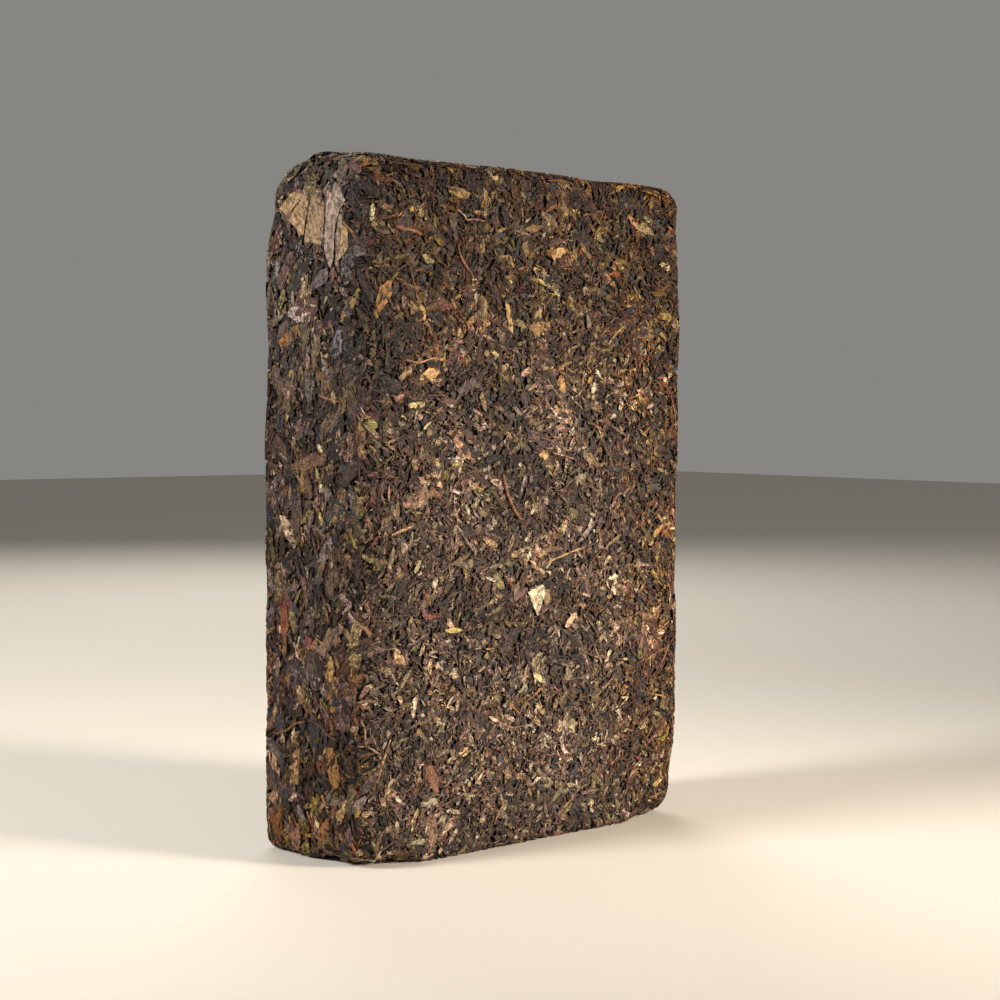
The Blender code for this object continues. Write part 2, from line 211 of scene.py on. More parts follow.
def crown(points):
    """How far the top swells upward over each point."""
    bulge = np.maximum(0.0, 1.0 - (points[:, 1] / HALF[1]) ** 2)
    lean = 1.0 - TOP_LEAN * points[:, 0] / HALF[0]
    return TOP_CROWN * smooth_step(points[:, 2], 0, HALF[2]) * bulge * lean


def swell(places):
    """Height of the pressed surface above or below the even block."""
    return sum(height * noise_at(places / length, start) for length, height, start in WAVES)


def settle(points, height=0.0):
    """Places on the pressed surface nearest to the points, raised by a height, and their outward way."""
    inner = points - BLOCK_MIDDLE
    inner[:, 2] -= crown(inner)
    radius = rounding(inner)
    middle = np.clip(inner, radius - HALF, HALF - radius)
    outward = inner - middle
    outward /= np.maximum(np.linalg.norm(outward, axis=1), 0.001)[:, None]
    places = middle + outward * radius
    places[:, 2] += crown(places)
    places += outward * (swell(places) + height)[:, None]
    return places + BLOCK_MIDDLE, outward


def crumble(places):
    """Height of the small plates of leaf in the core, with cracks between them."""
    heights = np.empty(len(places))
    for index, place in enumerate(places):
        reach, spots = noise.voronoi(Vector(place / PLATE_SIZE))
        plate = noise.noise(spots[0] * 5.3) * 1.6
        gap = min(1.0, (reach[1] - reach[0]) / 0.22)
        heights[index] = PLATE_RISE * plate - CRACK_DEPTH * (1.0 - gap)
    return heights


def block_grid(pitch):
    """An even grid over the sharp block: points, quads, and each corner's place on a flat layout."""
    counts = [max(2, round(2.0 * half / pitch)) for half in HALF]
    lines = [np.linspace(-half, half, n + 1) for half, n in zip(HALF, counts)]
    steps = np.meshgrid(*[np.arange(n + 1) for n in counts], indexing="ij")
    outer = np.zeros(steps[0].shape, bool)
    for step, n in zip(steps, counts):
        outer |= (step == 0) | (step == n)
    number = np.full(outer.shape, -1)
    number[outer] = np.arange(outer.sum())
    points = np.stack([line[step[outer]] for line, step in zip(lines, steps)], axis=1)
    gap = 4.0
    beside, above = 2.0 * HALF[0] + gap, 2.0 * HALF[2] + gap
    span = 2.0 * beside + 4.0 * HALF[1] + gap
    layout = (
        ((2.0 * beside, 0), (2.0 * beside + 2.0 * HALF[1] + gap, 0)),
        ((0, 0), (beside, 0)),
        ((0, above), (beside, above)),
    )
    quads, flats = [], []
    for axis in range(3):
        first, second = [a for a in range(3) if a != axis]
        for end in (0, 1):
            sheet = np.take(number, counts[axis] * end, axis=axis)
            corners = [sheet[:-1, :-1], sheet[1:, :-1], sheet[1:, 1:], sheet[:-1, 1:]]
            if (end == 1) == (axis == 1):
                corners.reverse()
            quad = np.stack([corner.ravel() for corner in corners], axis=1)
            quads.append(quad)
            flats.append(points[quad][:, :, (first, second)] + HALF[[first, second]] + layout[axis][end])
    return points, np.concatenate(quads), (np.concatenate(flats) + 0.5 * gap) / (span + gap)


def add_piece(name, points, faces, material, layout, attributes=(), smooth=False):
    """One piece of the brick: points in millimetres, faces, and each face corner's place on a layout."""
    mesh = bpy.data.meshes.new(name)
    sides = faces.shape[1]
    mesh.vertices.add(len(points))
    mesh.vertices.foreach_set("co", (points * MM).astype(np.float32).ravel())
    mesh.loops.add(faces.size)
    mesh.loops.foreach_set("vertex_index", faces.astype(np.int32).ravel())
    mesh.polygons.add(len(faces))
    mesh.polygons.foreach_set("loop_start", np.arange(0, faces.size, sides, dtype=np.int32))
    mesh.polygons.foreach_set("use_smooth", np.full(len(faces), smooth))
    mesh.update(calc_edges=True)
    tiles = mesh.uv_layers.new(name="OFBake")
    tiles.uv.foreach_set("vector", layout.astype(np.float32).ravel())
    kinds = {1: ("FLOAT", "value"), 3: ("FLOAT_VECTOR", "vector"), 4: ("FLOAT_COLOR", "color")}
    for label, values in attributes:
        kind, field = kinds[values.size // len(values)]
        kept = mesh.attributes.new(label, kind, "POINT")
        kept.data.foreach_set(field, values.astype(np.float32).ravel())
    mesh.validate()
    mesh.materials.append(material)
    piece = bpy.data.objects.new(name, mesh)
    bpy.context.scene.collection.objects.link(piece)
    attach(piece, "root")
    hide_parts("tea_brick")
    return piece


class Skin:
    """The smooth surface that leaf lies on, and how to strew over it or find one place of it."""

    def __init__(self, points, quads):
        self.points = points
        self.faces = np.concatenate([quads[:, [0, 1, 2]], quads[:, [0, 2, 3]]])
        corners = points[self.faces]
        cross = np.cross(corners[:, 1] - corners[:, 0], corners[:, 2] - corners[:, 0])
        self.sizes = np.linalg.norm(cross, axis=1) / 2.0
        outward = np.zeros_like(points)
        for corner in range(3):
            np.add.at(outward, self.faces[:, corner], cross)
        self.outward = outward / np.linalg.norm(outward, axis=1)[:, None]
        self.tree = BVHTree.FromPolygons(points.tolist(), self.faces.tolist())

    def strew(self, count, rng, share):
        """Random places over the skin; share gives how thickly each face direction is covered."""
        facing = self.outward[self.faces].mean(axis=1)
        weight = self.sizes * share(facing)
        picked = rng.choice(len(self.faces), size=count, p=weight / weight.sum())
        a, b = rng.random(count), rng.random(count)
        over = a + b > 1.0
        a[over], b[over] = 1.0 - a[over], 1.0 - b[over]
        mix = np.stack([1.0 - a - b, a, b], axis=1)[:, :, None]
        places = (self.points[self.faces[picked]] * mix).sum(axis=1)
        outward = (self.outward[self.faces[picked]] * mix).sum(axis=1)
        return places, outward / np.linalg.norm(outward, axis=1)[:, None]

    def behind(self, face, right, up):
        """The place on the skin behind a point of the front or of the left end."""
        if face == "front":
            start, inward = Vector((right, -60, up)), Vector((0, 1, 0))
        else:
            start, inward = Vector((-110, -right, up)), Vector((1, 0, 0))
        foot = self.tree.ray_cast(start, inward)[0]
        return np.array(foot), -np.array(inward)


def sideways(outward, turn):
    """Directions along and aside in the surface, turned from level by an angle in degrees."""
    across = np.cross((0, 0, 1), outward)
    flat = np.linalg.norm(across, axis=1) < 0.4
    across[flat] = (1, 0, 0)
    across -= outward * (across * outward).sum(axis=1)[:, None]
    across /= np.linalg.norm(across, axis=1)[:, None]
    upward = np.cross(outward, across)
    angle = np.radians(turn)[:, None]
    along = across * np.cos(angle) + upward * np.sin(angle)
    return along, np.cross(outward, along)


def lie(places, outward, rng, spread):
    """The turn each fragment lies at: drifting over the broad faces, mostly upright on the ends."""
    drift = 200.0 * noise_at(places / 26, (3.7, 8.1, 2.2))
    turn = drift + rng.normal(0.0, spread, len(places))
    ends = np.abs(outward[:, 0]) > END_FACING
    looser = 0.75 + 0.9 * smooth_step(places[ends, 2], 150, 200)
    turn[ends] = 90.0 + rng.normal(0.0, spread, ends.sum()) * looser
    return turn


def tile_layout(count, template):
    """Repeats one piece's flat layout over a grid of tiles, one tile a piece."""
    columns = math.ceil(math.sqrt(count))
    index = np.arange(count)
    corner = np.stack([index % columns, index // columns], axis=1)[:, None, None, :]
    return (corner + template[None]) / columns


def gather(local_points, local_faces):
    """Joins equal pieces into one array of points and faces."""
    count, size = local_points.shape[:2]
    faces = local_faces[None] + (np.arange(count) * size)[:, None, None]
    return local_points.reshape(-1, 3), faces.reshape(-1, local_faces.shape[1])


# A chip of leaf: six corners round a creased middle, on a root that sinks into the core.
# One outline tapers to a point at each end and the other is torn blunt.
TAPERED = np.array((
    (-1, 0), (-0.5, -0.85), (0.42, -0.95), (1, -0.1), (0.5, 1), (-0.45, 0.9),
    (-0.42, 0.05), (0.42, -0.04), (0, 0),
))
BLUNT = np.array((
    (-0.95, 0.45), (-0.9, -0.6), (0.15, -0.9), (0.95, -0.7), (0.85, 0.6), (-0.1, 0.95),
    (-0.45, 0), (0.45, 0), (0, 0),
))
CHIP_TOP = ((0, 1, 6), (1, 2, 7), (1, 7, 6), (2, 3, 7), (3, 4, 7), (4, 6, 7), (4, 5, 6), (5, 0, 6))
CHIP_UNDER = ((1, 0, 8), (2, 1, 8), (3, 2, 8), (4, 3, 8), (5, 4, 8), (0, 5, 8))
CHIP = (TAPERED, BLUNT, CHIP_TOP, CHIP_UNDER)

# A crumb has four corners, split across into two facets.
LONG_CRUMB = np.array(((-1, -0.1), (0.2, -0.9), (1, 0.1), (-0.2, 0.9), (0, 0)))
SQUARE_CRUMB = np.array(((-0.9, -0.8), (0.8, -0.9), (0.9, 0.8), (-0.8, 0.9), (0, 0)))
CRUMB = (LONG_CRUMB, SQUARE_CRUMB, ((0, 1, 2), (0, 2, 3)), ((1, 0, 4), (2, 1, 4), (3, 2, 4), (0, 3, 4)))
ROOT_DEPTH = -1.1

# Hue, depth of colour and brightness of a leaf or stem that has its own colour.
OWN_CAST = (0.5, 1, 1)


def pressed_flush(height, most):
    """Heights as the mould leaves them: nothing stands out further than a limit."""
    return np.where(height > 0.0, most * np.tanh(height / most), height)


def drifting_tone(places, rng, patch, drift):
    """A tone from 0 to 1 for each fragment, its own and partly that of the patch it lies in."""
    own = rng.random(len(places))
    patchy = noise_at(places / patch, (11, 5, 2))
    patchy += 0.7 * noise_at(places / (3.3 * patch), (2.0, 9.0, 5.0))
    return np.clip(own + drift * patchy, 0.0, 1.0)


def cast(places, rng):
    """How each fragment departs from its kind: hue, depth of colour and brightness. Near the top of the
    broad faces leaf is a deeper, darker brown as painted shade, and deeper towards the right as painted
    warm light. It is deeper low on the left end, and drifts from lighter to darker in patches. Redder
    leaf is greyer, and painted shade darkens the upright edge high up."""
    count = len(places)
    x, y, z = places.T
    broad = smooth_step(x, -74, -62)
    end = smooth_step(-x, 66, 74)
    # Deeper colour near the top of the broad faces is painted shade, and towards the right it is painted
    # warm light.
    deep = 0.33 * smooth_step(z, 130, 205) * broad + 0.32 * smooth_step(x, 25, 70)
    low = 0.13 * (1.0 - smooth_step(z, 150, 190)) + 0.2 * (1.0 - smooth_step(z, 20, 110))
    deep += low * end
    hue = 0.4985 + rng.uniform(-0.034, 0.019, count) + 0.01 * noise_at(places / 17, (5, 1, 4))
    vivid = 0.96 + deep + rng.normal(0.0, 0.11, count) - 9.0 * np.maximum(0.0, 0.491 - hue)
    patch = 0.6 * noise_at(places / 9, (7, 2, 6)) + 0.55 * noise_at(places / 27, (1, 6, 3))
    # Painted shade: darker near the top of the broad faces.
    patch -= 0.46 * smooth_step(z, 150, 205) * broad * (1.0 - 0.8 * smooth_step(z, 217, 227))
    # Painted shade: darker along the upright edge high up.
    edge_shade = (1.0 - smooth_step(x, -64, -54)) * smooth_step(-y, 8, 18)
    patch -= 0.35 * smooth_step(z, 138, 162) * edge_shade
    own = rng.normal(0.0, 0.1, count)
    patch += own * (1.0 + 2.2 * smooth_step(z, 115, 150) * broad + 2.6 * end)
    return np.stack([hue, np.clip(vivid, 0.4, 1.4), np.exp(np.minimum(patch, 0.4 - 0.2 * end))], axis=1)


def flakes(name, material, shape, skin, rng, covered, count, length, width, rise, clump):
    """Broken flakes of leaf, lying nearly flat, each its own size, crease and tilt."""
    tapered, torn, top, under = shape
    corners = len(tapered)
    places, outward = skin.strew(int(count * 1.7), rng, even_cover)
    crowd = noise_at(places / 9, (clump, 3, 1)) + noise_at(places / 4, (clump, 8, 6))
    order = np.argsort(rng.random(len(places)) - 1.6 * crowd)[:count]
    places, outward = places[order], outward[order]
    keep = rng.random(count) > covered(places)
    places, outward = places[keep], outward[keep]
    count = len(places)
    ends = np.abs(outward[:, 0]) > END_FACING
    along, aside = sideways(outward, lie(places, outward, rng, 50.0))
    coarse = np.exp(0.45 * noise_at(places / 15, (9, clump, 4)))
    long = 0.5 * length * np.exp(rng.normal(0.0, 0.48, count)) * np.where(ends, 1.1, 1.0) * coarse
    wide = 0.5 * width * np.exp(rng.normal(0.0, 0.36, count)) * np.where(ends, 1.25, 1.0) * coarse
    blunt = rng.random(count)[:, None, None]
    flat = tapered * (1.0 - blunt) + torn * blunt + rng.uniform(-0.26, 0.26, (count, corners, 2))
    flat[:, -1] *= 0.5
    a = flat[:, :, 0] * long[:, None]
    bend = rng.normal(0.0, 0.12, count)[:, None] * long[:, None] * flat[:, :, 0] ** 2
    b = flat[:, :, 1] * wide[:, None] + bend
    crease = rng.choice((-1.0, 1.0), count, p=(0.35, 0.65)) * rng.uniform(0.08, 0.42, count)
    height = rise * rng.random(count)[:, None]
    height = height + rng.normal(-0.05, 0.22, count)[:, None] * flat[:, :, 0] ** 2
    height[:, 6:8] += crease[:, None]
    height += a * rng.normal(0.0, 0.14, count)[:, None] + b * rng.normal(0.0, 0.36, count)[:, None]
    height += rng.uniform(-0.07, 0.07, (count, corners))
    height = pressed_flush(height, FINE_PROUD)
    height[:, -1] = ROOT_DEPTH
    points = places[:, None] + along[:, None] * a[:, :, None] + aside[:, None] * b[:, :, None]
    points, _ = settle(points.reshape(-1, 3), height.ravel())
    upper = tapered * (0.42, 0.3) + (0.5, 0.64)
    lower = tapered * (0.42, 0.11) + (0.5, 0.16)
    template = np.concatenate([upper[np.array(top)], lower[np.array(under)]])
    own = rng.uniform(0.0, 90.0, count)[:, None] + np.zeros((count, corners))
    tone = np.repeat(drifting_tone(places, rng, 7.0, 0.5), corners)
    rim = np.ones((count, corners))
    rim[:, 6:8] = 0.0
    points, faces = gather(points.reshape(count, corners, 3), np.array(top + under))
    points[:, 2] = np.maximum(points[:, 2], 0.0)
    grain = np.stack([a, b, own], axis=2).reshape(-1, 3)
    shift = np.repeat(cast(places, rng), corners, axis=0)
    attributes = (("tone", tone), ("rim", rim.ravel()), ("grain", grain), ("cast", shift))
    return add_piece(name, points, faces, material, tile_layout(count, template), attributes)


def rod_faces(rings, sides):
    """Faces of a closed rod with a point at each end, and their flat layout."""
    faces, layout = [], []
    start, finish = rings * sides, rings * sides + 1
    for side in range(sides):
        after = (side + 1) % sides
        low, high = side / sides, (side + 1) / sides
        faces.append((start, after, side))
        layout.append(((0.0, (low + high) / 2.0), (0.08, high), (0.08, low)))
        for ring in range(rings - 1):
            a, b = ring * sides + side, ring * sides + after
            c, d = b + sides, a + sides
            near = 0.08 + 0.84 * ring / (rings - 1)
            far = 0.08 + 0.84 * (ring + 1) / (rings - 1)
            faces += [(a, b, c), (a, c, d)]
            layout += [((near, low), (near, high), (far, high)), ((near, low), (far, high), (far, low))]
        last = (rings - 1) * sides
        faces.append((finish, last + side, last + after))
        layout.append(((1.0, (low + high) / 2.0), (0.92, low), (0.92, high)))
    return np.array(faces), np.array(layout) * 0.88 + 0.06


def rods(name, material, spots, rng, length, radius, rings, sides, sink, blunt, curl, colours=None):
    """Rolled leaf or stems: bent rods that follow the surface, with uneven thickness. Each takes a tone
    of its material's ramp unless it has its own colour."""
    places, outward, turn = spots
    count = len(places)
    along, aside = sideways(outward, turn)
    long = length * 0.5
    step = np.linspace(-1.0, 1.0, rings)
    bow = rng.normal(0.0, curl, count)[:, None] * long[:, None] * (1.0 - step**2)
    wave = rng.normal(0.0, 0.35 * curl, count)[:, None] * long[:, None] * np.sin(step * 4.7)
    middle = places[:, None] + along[:, None] * (long[:, None] * step)[:, :, None]
    middle += aside[:, None] * (bow + wave)[:, :, None]
    thick = radius[:, None] * rng.uniform(0.8, 1.15, (count, rings))
    thick *= 1.0 - blunt * step**4
    lift = rng.normal(0.0, 0.12, (count, 2))
    height = thick * (1.0 - 2.0 * sink) + lift[:, :1] * step + lift[:, 1:] * step**2
    middle, normal = settle(middle.reshape(-1, 3), pressed_flush(height, FINE_PROUD).ravel())
    middle, normal = middle.reshape(count, rings, 3), normal.reshape(count, rings, 3)
    angle = 2.0 * math.pi * np.arange(sides) / sides + 0.4
    across = np.cross(normal, along[:, None])
    across /= np.linalg.norm(across, axis=2)[:, :, None]
    ring = across[:, :, None] * np.cos(angle)[:, None] + normal[:, :, None] * np.sin(angle)[:, None]
    body = (middle[:, :, None] + ring * thick[:, :, None, None]).reshape(count, rings * sides, 3)
    reach = (0.35 + 2.0 * blunt) * radius[:, None]
    start = middle[:, 0] - along * reach
    finish = middle[:, -1] + along * reach
    points = np.concatenate([body, start[:, None], finish[:, None]], axis=1)
    faces, template = rod_faces(rings, sides)
    size = rings * sides + 2
    tone = np.repeat(drifting_tone(places, rng, 7.0, 0.4), size)
    rim = np.tile(np.concatenate([np.repeat(np.abs(step), sides), (1.0, 1.0)]), count)
    run = np.concatenate([np.repeat(step, sides), (-1.1, 1.1)])[None] * long[:, None]
    round_it = np.concatenate([np.tile(np.sin(angle), rings), (0.0, 0.0)])[None] * radius[:, None] * 1.5
    own = rng.uniform(0.0, 90.0, count)[:, None] + np.zeros((count, size))
    points, faces = gather(points, faces)
    points[:, 2] = np.maximum(points[:, 2], 0.0)
    grain = np.stack([run, round_it, own], axis=2).reshape(-1, 3)
    shift = np.tile(OWN_CAST, (count, 1)) if colours else cast(places, rng)
    shift = np.repeat(shift, size, axis=0)
    attributes = [("tone", tone), ("rim", rim), ("grain", grain), ("cast", shift)]
    if colours:
        shades = np.repeat([linear(code) for code in colours], size, axis=0)
        attributes.append(("leaf_colour", shades))
    return add_piece(name, points, faces, material, tile_layout(count, template), attributes, True)


def torn_outline(length, width, rng):
    """A broken piece of leaf blade: a few straight tears, narrow or cut across at its ends."""
    steps = np.sort(np.concatenate([(0.0, 1.0), rng.uniform(0.12, 0.88, 3)]))
    profile = np.sin(math.pi * (0.1 + 0.8 * steps)) ** 0.8
    left = profile * rng.uniform(0.55, 1.15, 5)
    right = profile * rng.uniform(0.55, 1.15, 5)
    bend = rng.uniform(-0.2, 0.2)
    middle = bend * length * (steps - 0.5) ** 2
    slant = rng.normal(0.0, 0.12, 2) * length
    x = (steps - 0.5) * length
    upper = np.stack([x + slant[0] * (steps - 0.5), middle + 0.5 * width * left], axis=1)
    lower = np.stack([x - slant[1] * (steps - 0.5), middle - 0.5 * width * right], axis=1)
    return np.concatenate([lower, upper[::-1]])


def turned_back(outline, turn):
    """An outline given right and up, as seen along veins turned from level by an angle in degrees."""
    cos, sin = math.cos(math.radians(turn)), math.sin(math.radians(turn))
    right, up = np.array(outline).T
    return np.stack([right * cos + up * sin, up * cos - right * sin], axis=1)


def inside(outline, points):
    """Whether flat points lie inside a closed outline."""
    within = np.zeros(len(points), bool)
    x, y = points[:, 0], points[:, 1]
    for (ax, ay), (bx, by) in zip(outline, np.roll(outline, -1, axis=0)):
        if ay != by:
            crosses = (ay > y) != (by > y)
            within ^= crosses & (x < (bx - ax) * (y - ay) / (by - ay) + ax)
    return within


def leaf_sheet(outline, pitch, rng):
    """Points and triangles that fill a leaf outline evenly."""
    rim = []
    for start, end in zip(outline, np.roll(outline, -1, axis=0)):
        steps = max(1, round(np.linalg.norm(end - start) / pitch))
        for step in range(steps):
            point = start + (end - start) * step / steps
            rim.append(point + rng.normal(0.0, 0.11 * pitch, 2))
    rim = np.array(rim)
    low, high = rim.min(axis=0), rim.max(axis=0)
    across, upward = (np.arange(low[axis], high[axis], pitch) for axis in (0, 1))
    grid = np.stack(np.meshgrid(across, upward), axis=-1)
    grid[1::2, :, 0] += 0.5 * pitch
    grid = grid.reshape(-1, 2) + rng.normal(0.0, 0.12 * pitch, (grid.size // 2, 2))
    grid = grid[inside(rim, grid)]
    if len(grid):
        away = np.linalg.norm(grid[:, None] - rim[None], axis=2).min(axis=1)
        grid = grid[away > 0.45 * pitch]
    points = [Vector(point) for point in np.concatenate([rim, grid])]
    edges = [(index, (index + 1) % len(rim)) for index in range(len(rim))]
    points, _, faces, _, _, _ = delaunay_2d_cdt(points, edges, [], 1, 0.0001)
    return np.array(points), [tuple(face) for face in faces]


class Leaves:
    """Leaf blades and pieces of blade, each a thin closed sheet that follows the surface."""

    def __init__(self, rng, pitch, thick):
        self.rng, self.pitch, self.thick = rng, pitch, thick
        self.points, self.faces, self.flats, self.rims = [], [], [], []
        self.colours, self.grains, self.casts = [], [], []
        self.prints = []
        self.total = 0

    def add(self, place, outward, turn, outline, lift, wrinkle, colour, own_cast, vein=0.0):
        """Lays one blade. Lift, wrinkle and vein are heights: of its skin over the surface, and of its
        wrinkles and midrib over its skin."""
        rng = self.rng
        along, aside = sideways(outward[None], np.array([turn]))
        along, aside = along[0], aside[0]
        flat, faces = leaf_sheet(outline, self.pitch, rng)
        world = place + along * flat[:, :1] + aside * flat[:, 1:]
        count = {}
        for face in faces:
            for first, second in zip(face, face[1:] + face[:1]):
                count[(first, second)] = count.get((first, second), 0) + 1
        loose = [edge for edge in count if (edge[1], edge[0]) not in count]
        rim = np.zeros(len(flat))
        rim[[edge[0] for edge in loose]] = 1.0
        shift = rng.uniform(-50.0, 50.0, 3)
        level = np.concatenate([flat, np.zeros((len(flat), 1))], axis=1)
        folds = noise_at(level / (3.4, 2.0, 1.0), shift)
        fine = noise_at(level / (1.3, 0.9, 1.0), shift + 9.0)
        curl = rng.uniform(-0.5, 1.0) * rim * noise_at(level / 2.6, shift + 4.0)
        height = lift + wrinkle * (folds + 0.8 * fine + rng.normal(0.0, 0.22, len(flat))) + 0.5 * curl
        height += vein * np.exp(-((flat[:, 1] / 0.45) ** 2))
        height = pressed_flush(height, BLADE_PROUD)
        upper, _ = settle(world, height)
        under, _ = settle(world, height - self.thick)
        size = len(flat)
        low, high = flat.min(axis=0), flat.max(axis=0)
        unit = (flat - low) / max(high - low)
        base = self.total
        over, below = unit * (0.9, 0.44) + (0.05, 0.52), unit * (0.9, 0.38) + (0.05, 0.06)
        tile_faces, tile_flats = [], []
        for face in np.array(faces):
            tile_faces += [tuple(base + face), tuple(base + size + face[::-1])]
            tile_flats += [over[face], below[face[::-1]]]
        for index, (first, second) in enumerate(loose):
            near, far = 0.05 + 0.9 * index / len(loose), 0.05 + 0.9 * (index + 1) / len(loose)
            tile_faces.append((base + first, base + size + first, base + second))
            tile_faces.append((base + size + first, base + size + second, base + second))
            tile_flats.append([(near, 0.04), (near, 0.01), (far, 0.04)])
            tile_flats.append([(near, 0.01), (far, 0.01), (far, 0.04)])
        self.points += [upper, under]
        self.faces += tile_faces
        self.flats.append(tile_flats)
        own = np.full((size, 1), rng.uniform(0.0, 90.0))
        self.grains.append(np.tile(np.concatenate([flat, own], axis=1), (2, 1)))
        self.rims.append(np.concatenate([rim, np.ones(size)]))
        self.colours.append(np.tile(linear(colour), (2 * size, 1)))
        self.casts.append(np.tile(own_cast, (2 * size, 1)))
        self.prints.append((place, along, aside, outline, outward))
        self.total += 2 * size

    def covered(self, places, most=None):
        """Whether each place lies under one of the leaves, or under one of the first few."""
        hidden = np.zeros(len(places), bool)
        for place, along, aside, outline, outward in self.prints[:most]:
            away = places - place
            near = np.abs(away).max(axis=1) < np.abs(outline).max() * 1.2
            flat = np.stack([away[near] @ along, away[near] @ aside], axis=1)
            under = inside(outline * 0.9, flat) & (np.abs(away[near] @ outward) < 5.0)
            hidden[np.flatnonzero(near)[under]] = True
        return hidden

    def build(self, name, material):
        points = np.concatenate(self.points)
        points[:, 2] = np.maximum(points[:, 2], 0.0)
        columns = math.ceil(math.sqrt(len(self.flats)))
        layout = []
        for index, flats in enumerate(self.flats):
            corner = np.array((index % columns, index // columns))
            layout.append((np.array(flats) + corner) / columns)
        labels = ("grain", "rim", "leaf_colour", "cast")
        values = (self.grains, self.rims, self.colours, self.casts)
        attributes = [(label, np.concatenate(kept)) for label, kept in zip(labels, values)]
        return add_piece(name, points, np.array(self.faces), material, np.concatenate(layout), attributes)


def linear(code):
    """A colour from its sRGB hex code, as linear red, green and blue, and fully opaque."""
    parts = [int(code[i : i + 2], 16) / 255.0 for i in (1, 3, 5)]
    return (*(p / 12.92 if p <= 0.04045 else ((p + 0.055) / 1.055) ** 2.4 for p in parts), 1.0)


def new_material(name):
    material = bpy.data.materials.new(name)
    material.use_nodes = True
    return material, material.node_tree.nodes["Principled BSDF"]


def set_inputs(material, node, inputs):
    """Gives a shader node its inputs, each a value or the output of another node."""
    for socket, value in inputs.items():
        if isinstance(value, bpy.types.NodeSocket):
            material.node_tree.links.new(value, node.inputs[socket])
        else:
            node.inputs[socket].default_value = value


def add_node(material, kind, output, inputs, stops=(), **settings):
    """Adds one shader node with its settings, links and ramp colours. Gives back one or all outputs."""
    node = material.node_tree.nodes.new("ShaderNode" + kind)
    for label, value in settings.items():
        setattr(node, label, value)
    for index, (position, code) in enumerate(stops):
        ramp = node.color_ramp.elements
        stop = ramp[index] if index < 2 else ramp.new(position)
        stop.position = position
        stop.color = linear(code)
    set_inputs(material, node, inputs)
    return node.outputs[output] if output else node.outputs


